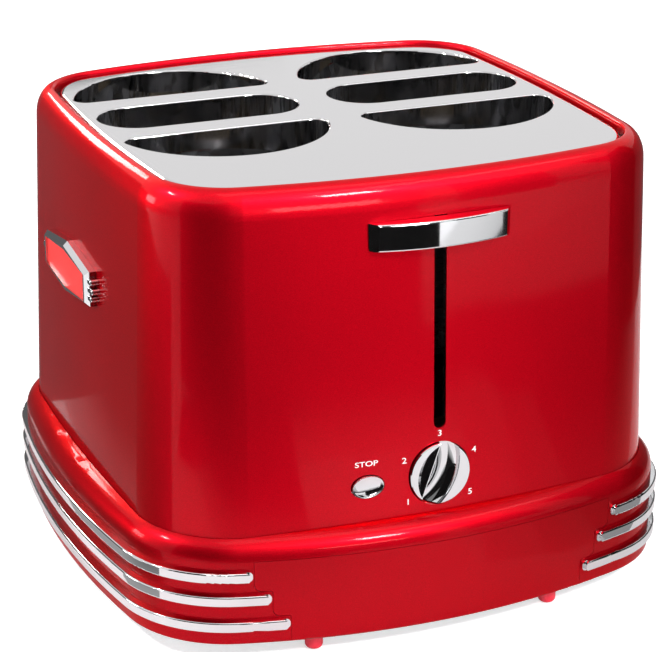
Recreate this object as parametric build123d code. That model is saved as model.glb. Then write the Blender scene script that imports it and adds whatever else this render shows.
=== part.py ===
from build123d import *
import math
import os

# Countertop hot dog and bun toaster. Millimetres, +Z up, front towards -Y.
# The origin is the middle of the footprint, on the surface that the feet stand on.

# Clearances
overrun = 5.0              # how far a cutting tool runs past what it cuts
seat_gap = 0.3             # rest gap between two pieces that are seated on each other
fit_gap = 0.05             # radial gap of a pin or rod in its hole
move_gap = 0.7             # gap beside a piece that moves

# Base skirt plan, which sets the length and width of the whole
skirt_half_width = 160.2
skirt_half_depth = 158.5
skirt_step = 17.2          # how far the skirt stands out beyond the top of the housing

# Housing plan: four bowed sides joined by round corners
body_half_width = skirt_half_width - skirt_step
body_half_depth = skirt_half_depth - skirt_step
body_side_radius = 1190.0
body_front_radius = 540.0
body_corner_radius = 48.0
wall_draft = 1.84          # degrees; the walls lean in towards the top

# Housing heights and wall
rim_height = 242.5         # crest of the rolled rim
rim_crest_inset = 9.0
rim_roll_height = 14.7
rim_lip_inset = 10.6
rim_lip_drop = 2.4
rim_lip_depth = 12.0
shell_wall = 1.0
shell_bottom = 34.3

# Base skirt bow and section
skirt_side_radius = 580.0
skirt_front_radius = 381.0
skirt_corner_radius = 60.0
skirt_bottom = 4.8
skirt_wall = 2.5
ridge_height = 63.1
ridge_radius = 12.0
ridge_overlap = 20.0       # how far the ridge runs in before the housing cuts it
skirt_edge_round = 1.2

# Stepped seams of the front and rear base panels
seam_top = 51.4
seam_upper_inset = 58.2
seam_middle_inset = 67.4
seam_lower_inset = 76.7
seam_upper_x = skirt_half_width - seam_upper_inset
seam_middle_x = skirt_half_width - seam_middle_inset
seam_lower_x = skirt_half_width - seam_lower_inset
seam_upper_step = 34.4
seam_lower_step = 19.9
seam_inner_round = 4.0
seam_outer_round = 1.8
seam_gap = 0.2

# Chrome trim bars
bar_heights = {"upper": 43.6, "middle": 30.6, "lower": 16.0}
bar_end_gap = 2.6
bar_ends = {
    "upper": seam_upper_x + bar_end_gap,
    "middle": seam_middle_x + bar_end_gap,
    "lower": seam_lower_x + bar_end_gap,
}
bar_height = 5.6
bar_proud = 3.2
bar_lip_proud = 1.2
bar_lip_reach = 1.7
bar_edge_round = 0.9
bar_end_round = 2.3

# Chrome top plate
plate_inset = 12.8
plate_top = 240.2
plate_rim_height = 3.7
plate_sheet = 1.5
plate_edge_round = 2.8
slot_lip_round = 1.0

# Dark frame that fills the gutter below the rim
frame_outer_inset = 10.9
frame_inner_inset = 15.5
frame_depth = 8.5

# Cooking chambers
chamber_inner_x = 6.5
chamber_side_room = 15.5   # between a chamber and the side of the housing
chamber_outer_x = body_half_width - chamber_side_room
mechanism_room = 72.3      # between the chambers and the front
rear_room = 20.5
chamber_front = mechanism_room - body_half_depth
chamber_rear = body_half_depth - rear_room
chamber_width = chamber_outer_x - chamber_inner_x
chamber_depth = chamber_rear - chamber_front
chamber_wall = 0.6
chamber_corner = 12.0
chamber_bottom = 34.0
chamber_top = 212.0
leg_width = 10.0
side_leg_inset = 30.0
end_leg_inset = 27.5
tab_slot_width = 10.0
tab_slot_top = 154.0

# Food slots
unit_x = (chamber_inner_x + chamber_outer_x) / 2
slot_row_y = (chamber_front + chamber_rear) / 2
dog_slot_margin = 3.75
dog_slot_length = chamber_width - 2 * dog_slot_margin
dog_slot_width = 43.5
bun_slot_offset = 38.6     # straight edge of a bun slot from the middle of the row
bun_slot_margin = 4.3
bun_slot_side_margin = 2.5
bun_slot_depth = chamber_depth / 2 - bun_slot_margin - bun_slot_offset
bun_slot_chord = chamber_width - 2 * bun_slot_side_margin
bun_slot_radius = (bun_slot_chord**2 / 4 + bun_slot_depth**2) / (2 * bun_slot_depth)
bun_slot_sink = bun_slot_radius - bun_slot_depth
bun_slot_tip_round = 7.0
bun_slot_least_round = 1.5
collar_wall = 0.8
collar_length = 25.0

# Heaters between and beside the slots
rail_thickness = 2.0
rail_low = 50.0
rail_drop = 32.0
rail_top = chamber_top - rail_drop
rail_middle_width = 15.6
rail_end_width = 4.4
card_margin = 8.5
card_width = chamber_width - 2 * card_margin
card_thickness = 1.0
ribbon_thickness = 0.3
ribbon_width = 3.0
ribbon_rows = 9
ribbon_margin = 8.0
guard_radius = 0.8
guard_count = 6
guard_edge = 1.3

# Lift: lever, bracket, spine and racks
lift_travel = 100.0
lever_height = 214.9
handle_half_width = 39.5
handle_face_half_width = 35.2
handle_thickness = 14.2
handle_end_lift = 4.8
handle_bow = 4.75
handle_edge_round = 0.9
arm_width = 3.0
arm_height = 8.0
arm_reach = 3.2            # how far the arm goes into the handle
slot_width = 6.8
slot_bottom = 108.8
rod_setback = 35.3
rod_y = rod_setback - body_half_depth      # guide rods, at the height of the lever
rod_x = 22.0
rod_radius = 3.0
rod_top = 226.0
sleeve_wall = 2.4
sleeve_height = 17.0
lower_sleeve_drop = 66.0
bracket_half_width = 27.0
bracket_sheet = 2.0
bracket_back = 4.5
bracket_top = 5.0
spine_width = 3.0
spine_height = 16.0
spine_low = 132.0
spine_end_gap = 23.0
spine_rear = chamber_rear - spine_end_gap
rack_top = 142.4
rack_thickness = 2.4
rack_rim = 3.0
rack_inset = 6.0
rack_wire = 2.4
rack_wire_pitch = 9.5
tab_width = 7.0
armature_half_width = 12.0
armature_reach = 7.0
armature_thickness = 2.0
magnet_top = 49.6
magnet_gap = 0.4
magnet_half_width = 11.0
magnet_height = 20.0
magnet_depth = 12.0
coil_height = 12.0
coil_proud = 2.5

# Rod bracket and springs
top_bracket_half_width = 45.0
top_bracket_sheet = 2.0
top_bracket_drop = 36.0
spring_x = 36.0
spring_radius = 3.5
spring_bore = 2.3
spring_ear = 12.0

# Dial and timer
dial_height = 84.0
dial_radius = 16.8
dial_gap = 0.6
dial_lift = 1.5
dial_depth = 9.0
dial_crest_angle = 71.0    # degrees from +X, seen from the front
dial_crest_offset = 5.5
dial_crest_width = 0.4
dial_scoop_radius = 7.9
dial_scoop_depth = 5.5
dial_scoop_sweep = 25.0      # radius that the hollow is swept round
dial_wedge_width = 6.4
dial_wedge_depth = 5.0
dial_wedge_arc = 19.6
dial_edge_round = 0.4
dial_cup_wall = 1.2
dial_cup_depth = 10.5
timer_shaft_radius = 3.0
timer_half_width = 8.0
timer_length = 14.5
timer_shaft_length = 18.5

# Stop button and its switch
stop_x = 39.6
stop_height = 82.4
stop_length = 17.5
stop_width = 12.3
stop_gap = 0.4
stop_lift = 2.2
stop_edge_lift = 0.6
stop_travel = 2.5
stop_flange = 1.6
stop_flange_thickness = 1.2
stop_flange_depth = 3.0
stop_stem_radius = 2.0
switch_half_width = 3.0
switch_depth = 6.4

# Control board
board_setback = 24.4       # from the front wall at the height of the dial
board_thickness = 1.6
board_left = -56.0
board_right = 26.0
board_top = 104.0

# Side badges
badge_y = 10.0
badge_height = 165.5
badge_half_length = 36.5
badge_end_half_height = 8.4
badge_half_height = 12.5
badge_proud = 5.5
badge_frame = 2.0
badge_panel_drop = 1.0
badge_stud_length = 6.5
badge_stud_height = 3.2
badge_stud_pitch = 4.6
badge_stud_proud = 4.0
badge_stud_step = 2.0
badge_stud_round = 1.4
badge_stud_front_round = 0.8
badge_bevel = 2.4

# Bottom, feet, tray
bottom_low = 5.6
bottom_sheet = 1.2
vent_inset = 18.5
vent_length = 23.0
vent_width = 3.0
vent_count = 7
vent_pitch = 8.0
socket_radius = 5.5
socket_height = 9.0
foot_x = 68.0
foot_inset = 17.0
foot_radius = 4.8
foot_edge_round = 2.6
foot_reach = 5.0           # below the level that all heights are counted from
boss_radius = 5.0
boss_inset = 7.0
screw_radius = 1.5
screw_length = 12.0
screw_head_radius = 3.0
screw_head_height = 1.0
screw_slot_width = 0.8
screw_slot_depth = 0.5
tray_side_room = 84.6
tray_half_width = skirt_half_width - tray_side_room
tray_front_gap = 3.0
tray_front = chamber_front + tray_front_gap
tray_end_gap = 12.0
tray_rear = skirt_half_depth - tray_end_gap
tray_height = 13.0
tray_sheet = 1.0
tray_floor_gap = 0.3
tray_face_lap = 3.9
tray_face_half_width = tray_half_width + tray_face_lap
tray_face_height = 16.8
tray_face_gap = 0.5
grip_half_width = 24.0
grip_height = 7.0
grip_depth = 9.0
runner_sheet = 0.8
runner_height = 9.0
runner_width = 6.0
gland_height = 38.0
gland_radius = 6.5
gland_flange_radius = 9.0
gland_flange = 2.5
gland_bore = 3.5
gland_tail = 3.0
deflector_reach = 55.5
deflector_low = 26.0
deflector_high = 32.0
deflector_sheet = 1.0
deflector_flange = 6.0

on_end = (Align.CENTER, Align.CENTER, Align.MIN)
quarter_turn = 90.0        # degrees
draft = math.tan(math.radians(wall_draft))
lift_drift = lift_travel * draft           # how far forward the lift moves on its way down
bottom_top = bottom_low + bottom_sheet
body_plan = (body_half_width, body_half_depth, body_side_radius, body_front_radius, body_corner_radius)
skirt_plan = (skirt_half_width, skirt_half_depth, skirt_side_radius, skirt_front_radius, skirt_corner_radius)


def body_lean(z):
    """How far the housing stands outside its plan at height z."""
    return (rim_height - z) * draft


board_front = board_setback - body_half_depth - body_lean(dial_height)


def front_wall(z, x=0.0):
    """Y of the housing's front face."""
    radius = body_front_radius + body_lean(z)
    return -(body_half_depth + body_lean(z)) + radius - math.sqrt(radius**2 - x**2)


def corner_centre(half_width, half_depth, side_radius, front_radius, corner_radius):
    """Centre of the corner arc that meets a side arc and a front arc smoothly."""
    side_x = half_width - side_radius
    front_y = half_depth - front_radius
    to_side = side_radius - corner_radius
    to_front = front_radius - corner_radius
    apart = math.hypot(side_x, front_y)
    along = (to_side**2 - to_front**2 + apart**2) / (2 * apart)
    across = math.sqrt(to_side**2 - along**2)
    ux, uy = -side_x / apart, front_y / apart
    base_x, base_y = side_x + along * ux, along * uy
    one = (base_x - across * uy, base_y + across * ux)
    two = (base_x + across * uy, base_y - across * ux)
    return max((one, two), key=sum)


def bowed_wire(plan, inset, z):
    """Closed outline of the plan, drawn in by inset, starting in the middle of the right side."""
    half_width, half_depth, side_radius, front_radius, corner_radius = [size - inset for size in plan]
    cx, cy = corner_centre(half_width, half_depth, side_radius, front_radius, corner_radius)
    side_x = half_width - side_radius
    front_y = half_depth - front_radius
    side_turn = math.atan2(cy, cx - side_x)
    front_turn = math.atan2(cy - front_y, cx)
    middle_turn = (side_turn + front_turn) / 2
    quarter = (side_x + side_radius * math.cos(side_turn / 2), side_radius * math.sin(side_turn / 2))
    side_end = (side_x + side_radius * math.cos(side_turn), side_radius * math.sin(side_turn))
    corner = (cx + corner_radius * math.cos(middle_turn), cy + corner_radius * math.sin(middle_turn))
    front_end = (front_radius * math.cos(front_turn), front_y + front_radius * math.sin(front_turn))

    def at(point, right=1, back=1):
        return Vector(point[0] * right, point[1] * back, z)

    start = (half_width, 0)
    end = (0, half_depth)
    edges = [
        ThreePointArc(at(start), at(quarter), at(side_end)),
        ThreePointArc(at(side_end), at(corner), at(front_end)),
        ThreePointArc(at(front_end), at(end), at(front_end, -1)),
        ThreePointArc(at(front_end, -1), at(corner, -1), at(side_end, -1)),
        ThreePointArc(at(side_end, -1), at(start, -1), at(side_end, -1, -1)),
        ThreePointArc(at(side_end, -1, -1), at(corner, -1, -1), at(front_end, -1, -1)),
        ThreePointArc(at(front_end, -1, -1), at(end, 1, -1), at(front_end, 1, -1)),
        ThreePointArc(at(front_end, 1, -1), at(corner, 1, -1), at(side_end, 1, -1)),
        ThreePointArc(at(side_end, 1, -1), at(quarter, 1, -1), at(start)),
    ]
    return Wire(edges)


def bowed_block(plan, inset, low, high):
    """Upright block on the bowed plan."""
    return extrude(Face(bowed_wire(plan, inset, low)), amount=high - low, dir=(0, 0, 1))


def boss_places():
    """Middles of the four screw bosses, in the corners of the skirt."""
    cx, cy = corner_centre(*skirt_plan)
    reach = (skirt_corner_radius - boss_inset) / math.sqrt(2)
    return [(sx * (cx + reach), sy * (cy + reach)) for sx in (-1, 1) for sy in (-1, 1)]


def housing_core(grow, low, high):
    """Solid that fills the housing's leaning walls, grown by a gap."""
    bottom = Face(bowed_wire(body_plan, -body_lean(low) - grow, low))
    top = Face(bowed_wire(body_plan, -body_lean(high) - grow, high))
    return Part(loft([bottom, top], ruled=True).wrapped)


def round_the_plan(plan, edges):
    """Closed section of (x, z) edges at the right side, swept round the plan."""
    section = Plane.XZ * make_face(edges)
    return sweep(sections=section, path=bowed_wire(plan, 0, 0))


def box(x, y, z):
    """Box between two values on each axis."""
    return Pos(x[0], y[0], z[0]) * Box(x[1] - x[0], y[1] - y[0], z[1] - z[0], align=(Align.MIN,) * 3)


def rod_y_axis(x, z, radius, front, back):
    """Cylinder along Y between two Y values."""
    return Pos(x, front, z) * Rot(-90, 0, 0) * Cylinder(radius, back - front, align=on_end)


def raised(face, height):
    """A level face drawn up to a height."""
    return extrude(face, amount=height, dir=(0, 0, 1))


def mirrored(shape):
    """The same piece on the other side of the middle plane."""
    return mirror(shape, about=Plane.YZ)


lift_plane = Plane(origin=(0, rod_y, lever_height), x_dir=(1, 0, 0), z_dir=(0, draft, 1))


def on_lift(shape):
    """Place a shape drawn in the lift's own leaning frame."""
    return lift_plane * shape


# Housing shell
def make_body_shell():
    roll_base = rim_height - rim_roll_height
    outer_low = body_half_width + body_lean(shell_bottom)
    outer_high = body_half_width + body_lean(roll_base)
    roll_width = rim_crest_inset + body_lean(roll_base)
    crest_x = body_half_width - rim_crest_inset
    lip_x = body_half_width - rim_lip_inset
    lip_top = rim_height - rim_lip_drop
    lip_low = rim_height - rim_lip_depth
    crest_inner = rim_height - shell_wall
    outer_roll = EllipticalCenterArc(
        (crest_x, roll_base), roll_width, rim_roll_height, start_angle=0, arc_size=quarter_turn)
    inner_roll = EllipticalCenterArc(
        (crest_x, roll_base), roll_width - shell_wall, rim_roll_height - shell_wall,
        start_angle=0, arc_size=quarter_turn)
    lip_turn = EllipticalCenterArc(
        (crest_x, lip_top), crest_x - lip_x, rim_lip_drop, start_angle=quarter_turn, arc_size=quarter_turn)
    edges = [
        Line((outer_low, shell_bottom), (outer_high, roll_base)),
        outer_roll,
        lip_turn,
        Line((lip_x, lip_top), (lip_x, lip_low)),
        Line((lip_x, lip_low), (lip_x + shell_wall, lip_low)),
        Line((lip_x + shell_wall, lip_low), (lip_x + shell_wall, lip_top)),
        Line((lip_x + shell_wall, lip_top), (crest_x, crest_inner)),
        inner_roll,
        Line((outer_high - shell_wall, roll_base), (outer_low - shell_wall, shell_bottom)),
        Line((outer_low - shell_wall, shell_bottom), (outer_low, shell_bottom)),
    ]
    shell = round_the_plan(body_plan, edges)
    wall_front = front_wall(shell_bottom) - overrun
    cup_back = front_wall(dial_height) + dial_cup_depth
    cup = rod_y_axis(0, dial_height, dial_radius + dial_gap + dial_cup_wall, wall_front, cup_back)
    cup = cup & housing_core(-shell_wall / 2, shell_bottom, roll_base)
    shell = shell + cup
    shell = shell - rod_y_axis(0, dial_height, dial_radius + dial_gap, wall_front, cup_back + overrun)
    slot_top = lever_height + arm_height / 2 + slot_width / 2
    wall_back = front_wall(rim_height) + overrun
    slot_round = slot_width / 2
    slot = box((-slot_round, slot_round), (wall_front, wall_back), (slot_bottom + slot_round, slot_top))
    slot = slot + rod_y_axis(0, slot_bottom + slot_round, slot_round, wall_front, wall_back)
    shell = shell - slot
    button_hole = Plane(origin=(-stop_x, wall_front, stop_height), x_dir=(1, 0, 0), z_dir=(0, -1, 0))
    opening = button_hole * Ellipse(stop_length / 2 + stop_gap, stop_width / 2 + stop_gap)
    return shell - extrude(opening, amount=wall_back - wall_front, dir=(0, 1, 0))


# Gutter frame and top plate
def make_top_frame():
    frame_top = plate_top - plate_rim_height
    outer = bowed_block(body_plan, frame_outer_inset, frame_top - frame_depth, frame_top)
    inner = bowed_block(body_plan, frame_inner_inset, frame_top - frame_depth - overrun, frame_top + overrun)
    return outer - inner


def bun_slot_face(side, grow, z):
    """D-shaped slot; side is +1 behind the hot dog slot and -1 in front of it, grow widens it."""
    radius = bun_slot_radius + grow
    edge = bun_slot_offset - grow
    centre = bun_slot_offset - bun_slot_sink
    half = math.sqrt(radius**2 - (edge - centre)**2)
    chord = Line((-half, side * edge), (half, side * edge))
    arc = ThreePointArc((half, side * edge), (0, side * (centre + radius)), (-half, side * edge))
    face = make_face([chord, arc])
    face = fillet(face.vertices(), max(bun_slot_tip_round + grow, bun_slot_least_round))
    return Pos(unit_x, slot_row_y, z) * face


def dog_slot_face(grow, z):
    """Stadium slot that holds a hot dog at each end."""
    return Pos(unit_x, slot_row_y, z) * SlotOverall(dog_slot_length + 2 * grow, dog_slot_width + 2 * grow)


slot_faces = {
    "front_bun": lambda grow, z: bun_slot_face(-1, grow, z),
    "hot_dog": dog_slot_face,
    "rear_bun": lambda grow, z: bun_slot_face(1, grow, z),
}


def make_top_plate():
    rim_low = plate_top - plate_rim_height
    plate = bowed_block(body_plan, plate_inset, rim_low, plate_top)
    plate = fillet(plate.edges().group_by(Axis.Z)[-1], plate_edge_round)
    under = plate_top - plate_sheet
    plate = plate - bowed_block(body_plan, plate_inset + plate_sheet, rim_low - overrun, under)
    for face_at in slot_faces.values():
        cut = extrude(face_at(0, rim_low - overrun), amount=plate_rim_height + 2 * overrun, dir=(0, 0, 1))
        plate = plate - cut - mirrored(cut)
    top_face = plate.faces().sort_by(Axis.Z)[-1]
    lips = [edge for wire in top_face.inner_wires() for edge in wire.edges()]
    return fillet(lips, slot_lip_round)


def make_collar(face_at):
    """Polished chute that hangs from the plate round one slot."""
    top = plate_top - plate_sheet
    low = top - collar_length
    return raised(face_at(collar_wall, low), collar_length) - raised(
        face_at(0, low - overrun), collar_length + 2 * overrun)


# Base skirt, panels and trim bars
def skirt_ring():
    """The whole skirt wall and its rolled ridge, before it is parted."""
    ridge_base = ridge_height - ridge_radius
    outer = skirt_half_width
    inner = outer - skirt_wall
    crest = outer - ridge_radius
    ridge_inner = outer - ridge_overlap
    under = ridge_height - skirt_wall
    edge_round = skirt_edge_round
    edges = [
        Line((outer, skirt_bottom + edge_round), (outer, ridge_base)),
        CenterArc((crest, ridge_base), ridge_radius, 0, quarter_turn),
        Line((crest, ridge_height), (ridge_inner, ridge_height)),
        Line((ridge_inner, ridge_height), (ridge_inner, under)),
        Line((ridge_inner, under), (crest, under)),
        CenterArc((crest, ridge_base), ridge_radius - skirt_wall, 0, quarter_turn),
        Line((inner, ridge_base), (inner, skirt_bottom)),
        Line((inner, skirt_bottom), (outer - edge_round, skirt_bottom)),
        CenterArc((outer - edge_round, skirt_bottom + edge_round), edge_round, -quarter_turn, quarter_turn),
    ]
    ring = round_the_plan(skirt_plan, edges)
    return ring - housing_core(seat_gap, shell_bottom, rim_height / 2)


def seam_block(gap, back):
    """Stepped block whose sides are the seams of a base panel, drawn in by a gap."""
    upper, middle, lower = seam_upper_x - gap, seam_middle_x - gap, seam_lower_x - gap
    top = seam_top - gap
    low = skirt_bottom - overrun
    half = FilletPolyline(
        (upper, top), (upper, seam_upper_step + gap), (middle, seam_upper_step + gap),
        (middle, seam_lower_step + gap), (lower, seam_lower_step + gap), (lower, low),
        radius=[seam_inner_round, seam_outer_round, seam_inner_round, seam_outer_round])
    closing = Polyline((lower, low), (0, low), (0, top), (upper, top))
    plane = Plane(origin=(0, 0, 0), x_dir=(1, 0, 0), z_dir=(0, -1, 0))
    face = plane * make_face([*half.edges(), *closing.edges()])
    reach = skirt_half_depth + overrun
    block = extrude(face, amount=reach, dir=(0, back, 0))
    return block + mirrored(block)


def make_bar(height_name):
    """One trim bar of the right side: it runs from the front, round the side, to the rear."""
    middle = bar_heights[height_name]
    end = bar_ends[height_name]
    low, high = middle - bar_height / 2, middle + bar_height / 2
    surface = skirt_half_width
    outer = surface + bar_proud
    corner = bar_edge_round
    bar = round_the_plan(skirt_plan, [
        Line((surface, low), (outer - corner, low)),
        CenterArc((outer - corner, low + corner), corner, -quarter_turn, quarter_turn),
        Line((outer, low + corner), (outer, high - corner)),
        CenterArc((outer - corner, high - corner), corner, 0, quarter_turn),
        Line((outer - corner, high), (surface, high)),
        Line((surface, high), (surface, low)),
    ])
    lip_outer = surface + bar_lip_proud
    lip = round_the_plan(skirt_plan, [
        Line((surface, low), (lip_outer, low)),
        Line((lip_outer, low), (lip_outer, high)),
        Line((lip_outer, high), (surface, high)),
        Line((surface, high), (surface, low)),
    ])
    depth = skirt_half_depth + bar_proud + overrun

    def cut_back(ring, start):
        """Ends a ring at x = start, with the corners of its ends rounded."""
        far = outer + overrun
        piece = ring & box((start, far), (-depth, depth), (low - overrun, high + overrun))
        for edge, out in ((high, 1), (low, -1)):
            inside = edge - out * bar_end_round
            outside = edge + out * overrun
            turn = CenterArc(
                (start + bar_end_round, inside), bar_end_round, 2 * quarter_turn, -out * quarter_turn)
            rest = Polyline(
                (start + bar_end_round, edge), (start + bar_end_round, outside),
                (start - overrun, outside), (start - overrun, inside), (start, inside))
            corner_face = Plane.XZ * make_face([turn, *rest.edges()])
            piece = piece - extrude(corner_face, amount=depth, both=True)
        return piece

    return cut_back(bar, end) + cut_back(lip, end - bar_lip_reach)


def make_base():
    """Skirt and its two stepped panels."""
    plain_ring = skirt_ring()
    ring = plain_ring
    for x, y in boss_places():
        height = shell_bottom - seat_gap - bottom_top
        boss = Pos(x, y, bottom_top) * Cylinder(
            boss_radius, height, align=on_end)
        boss = boss & bowed_block(skirt_plan, skirt_edge_round, bottom_top, ridge_height)
        ring = ring + boss - Pos(x, y, bottom_top) * Cylinder(screw_radius + fit_gap, 3 * screw_length)
    front = plain_ring & seam_block(seam_gap, -1)
    rear = plain_ring & seam_block(seam_gap, 1)
    skirt = ring - seam_block(0, -1) - seam_block(0, 1)
    face_low = bottom_top + runner_sheet + tray_floor_gap
    mouth = box(
        (-tray_face_half_width - tray_face_gap, tray_face_half_width + tray_face_gap),
        (0, skirt_half_depth + overrun),
        (face_low - tray_face_gap, face_low + tray_face_height + tray_face_gap))
    rear = rear - mouth
    rear = rear - rod_y_axis(0, gland_height, gland_radius + fit_gap, 0, skirt_half_depth + overrun)
    return skirt, front, rear


# Side badges
def badge_face(inset, x):
    """Long hexagon with upright ends and a peak in the middle of its top and bottom."""
    length = badge_half_length - inset
    end = badge_end_half_height - inset / 2
    peak = badge_half_height - inset
    points = [(-length, -end), (0, -peak), (length, -end), (length, end), (0, peak), (-length, end)]
    plane = Plane(origin=(x, badge_y, badge_height), x_dir=(0, 1, 0), z_dir=(1, 0, 0))
    return plane * make_face(Polyline(*points, close=True))


def make_badge():
    """Badge of the right side: its frame with the studs, and its panel."""
    wall_x = body_half_width + body_lean(badge_height)
    start = wall_x - overrun
    front_x = wall_x + badge_proud
    core = housing_core(0, shell_bottom, rim_height - rim_roll_height)
    frame = extrude(badge_face(-badge_bevel, start), amount=front_x - start, dir=(1, 0, 0))
    outer_edges = frame.faces().sort_by(Axis.X)[-1].edges()
    frame = chamfer(outer_edges, badge_bevel)
    cut_length = front_x - start + 2 * overrun
    recess = extrude(badge_face(badge_frame, start - overrun), amount=cut_length, dir=(1, 0, 0))
    panel = extrude(badge_face(badge_frame, start), amount=front_x - badge_panel_drop - start, dir=(1, 0, 0))
    frame = frame - recess
    panel = panel - core
    for end in (-1, 1):
        for row in (-1, 0, 1):
            reach = badge_stud_length + badge_stud_step * (1 - abs(row))
            near = badge_y + end * (badge_half_length - badge_frame / 2)
            far = badge_y + end * (badge_half_length + reach)
            middle = badge_height + row * badge_stud_pitch
            stud = box(
                (start, wall_x + badge_stud_proud),
                (min(near, far), max(near, far)),
                (middle - badge_stud_height / 2, middle + badge_stud_height / 2))
            stud = fillet(stud.edges().filter_by(Axis.X), badge_stud_round)
            stud = fillet(stud.faces().sort_by(Axis.X)[-1].edges(), badge_stud_front_round)
            frame = frame + stud
    frame = frame - recess - core
    return frame, panel


# Lift
def make_arm():
    """Blade from the bracket, through the front slot, into the handle."""
    front = front_wall(lever_height) - move_gap - arm_reach
    low = lever_height - arm_height / 2
    blade = box((-arm_width / 2, arm_width / 2), (front, rod_y + 2 * bracket_back), (low, low + arm_height))
    return blade - behind_lift(bracket_back)


def behind_lift(back):
    """Room behind a plane of the lift's own frame."""
    return on_lift(box((-rod_x, rod_x), (back, lever_height), (-lever_height, rod_x)))


def make_handle():
    """Bowed bar with bevelled ends, its back parallel to the housing."""
    end_y = front_wall(lever_height, handle_face_half_width) - handle_end_lift
    back_y = front_wall(lever_height, handle_half_width)
    inner_y = back_y + overrun
    face_left = (-handle_face_half_width, end_y)
    face_right = (handle_face_half_width, end_y)
    outline = [
        ThreePointArc(face_left, (0, end_y - handle_bow), face_right),
        Line(face_right, (handle_half_width, back_y)),
        Line((handle_half_width, back_y), (handle_half_width, inner_y)),
        Line((handle_half_width, inner_y), (-handle_half_width, inner_y)),
        Line((-handle_half_width, inner_y), (-handle_half_width, back_y)),
        Line((-handle_half_width, back_y), face_left),
    ]
    low = lever_height - handle_thickness / 2
    bar = extrude(Pos(0, 0, low) * make_face(outline), amount=handle_thickness, dir=(0, 0, 1))
    face_edges = bar.faces().sort_by(Axis.Y)[0].edges()
    bar = fillet(face_edges, handle_edge_round)
    bar = bar - housing_core(move_gap, shell_bottom, rim_height - rim_roll_height)
    return bar - make_arm()


def make_bracket():
    """Sheet carrier with four sleeves that run on the guide rods, drawn in the lift's frame."""
    drop = lever_height - spine_low
    sheet = box((-bracket_half_width, bracket_half_width),
                (bracket_back, bracket_back + bracket_sheet), (-drop, bracket_top))
    carrier = sheet
    for sleeve_top in (bracket_top, bracket_top - lower_sleeve_drop):
        for side in (-1, 1):
            sleeve = Pos(side * rod_x, 0, sleeve_top) * Cylinder(
                rod_radius + sleeve_wall, sleeve_height, align=(Align.CENTER, Align.CENTER, Align.MAX))
            carrier = carrier + sleeve
    for side in (-1, 1):
        ear = box(sorted((side * bracket_half_width, side * (spring_x + spring_radius))),
                  (bracket_back, bracket_back + bracket_sheet), (-spring_ear, 0))
        tongue = box((side * spring_x - spring_radius, side * spring_x + spring_radius),
                     (-spring_radius, bracket_back + bracket_sheet),
                     (-spring_ear, -spring_ear + bracket_sheet))
        carrier = carrier + ear + tongue
        bore = Pos(side * rod_x, 0, 0) * Cylinder(rod_radius + fit_gap, 2 * drop + overrun)
        carrier = carrier - bore
    return on_lift(carrier)


def make_armature():
    """Plate that the magnet holds when the lever is down."""
    level = armature_level()
    return on_lift(box((-armature_half_width, armature_half_width),
                       (-armature_reach, bracket_back), (level, level + armature_thickness)))


def armature_level():
    """Height of the armature's underside in the lift's frame."""
    return magnet_top + magnet_gap + lift_travel - lever_height


def make_spine():
    """Long blade between the chambers that carries the racks."""
    spine = box((-spine_width / 2, spine_width / 2), (rod_y, spine_rear),
                (spine_low, spine_low + spine_height))
    return spine & behind_lift(bracket_back + bracket_sheet)


def make_rack(face_at, slot_y):
    """Open platform of strips under one slot, with the tab that goes to the spine."""
    low = rack_top - rack_thickness
    outer = raised(face_at(-rack_inset, low), rack_thickness)
    inner = raised(face_at(-rack_inset - rack_rim, low - overrun), rack_thickness + 2 * overrun)
    rack = outer - inner
    bounds = outer.bounding_box()
    count = int((bounds.max.Y - bounds.min.Y) / rack_wire_pitch)
    middle = (bounds.max.Y + bounds.min.Y) / 2
    for row in range(count):
        y = middle + (row - (count - 1) / 2) * rack_wire_pitch
        strip = box((bounds.min.X, bounds.max.X), (y - rack_wire / 2, y + rack_wire / 2), (low, rack_top))
        rack = rack + (strip & outer)
    for share in rack_cross_shares:
        x = unit_x + share * dog_slot_length / 2
        strip = box((x - rack_wire / 2, x + rack_wire / 2), (bounds.min.Y, bounds.max.Y), (low, rack_top))
        rack = rack + (strip & outer)
    tab_end = unit_x + rack_cross_shares[0] * dog_slot_length / 2
    tab = box((spine_width / 2, tab_end), (slot_y - tab_width / 2, slot_y + tab_width / 2), (low, rack_top))
    return rack + tab


rack_cross_shares = (-0.5, 0.0, 0.5)
bun_rack_offset = bun_slot_offset + (bun_slot_radius - bun_slot_sink) / 2
rack_rows = {
    "front_bun": slot_row_y - bun_rack_offset,
    "hot_dog": slot_row_y,
    "rear_bun": slot_row_y + bun_rack_offset,
}


# Guide rods, their bracket, the springs and the magnet
def make_rods():
    top = rod_top - lever_height
    foot = lever_height - bottom_top - fit_gap
    rods = []
    for side in (-1, 1):
        rod = Pos(side * rod_x, 0, -foot) * Cylinder(
            rod_radius, foot + top, align=on_end)
        rods.append(on_lift(rod) & box((-bracket_half_width, bracket_half_width), (2 * chamber_front, 0),
                                       (bottom_top, rod_top)))
    return Compound(rods)


def make_top_bracket():
    """Angle on the chambers' front walls that holds the rods and the springs."""
    plate_low = rod_top - top_bracket_sheet
    front = rod_y - rod_radius - sleeve_wall
    plate = box((-top_bracket_half_width, top_bracket_half_width), (front, chamber_front),
                (plate_low, rod_top))
    flange = box((-top_bracket_half_width, top_bracket_half_width),
                 (chamber_front - top_bracket_sheet, chamber_front), (rod_top - top_bracket_drop, rod_top))
    bracket = plate + flange
    for side in (-1, 1):
        bore = Pos(side * rod_x, 0, 0) * Cylinder(rod_radius + fit_gap, lever_height)
        bracket = bracket - on_lift(bore)
    return bracket


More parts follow.
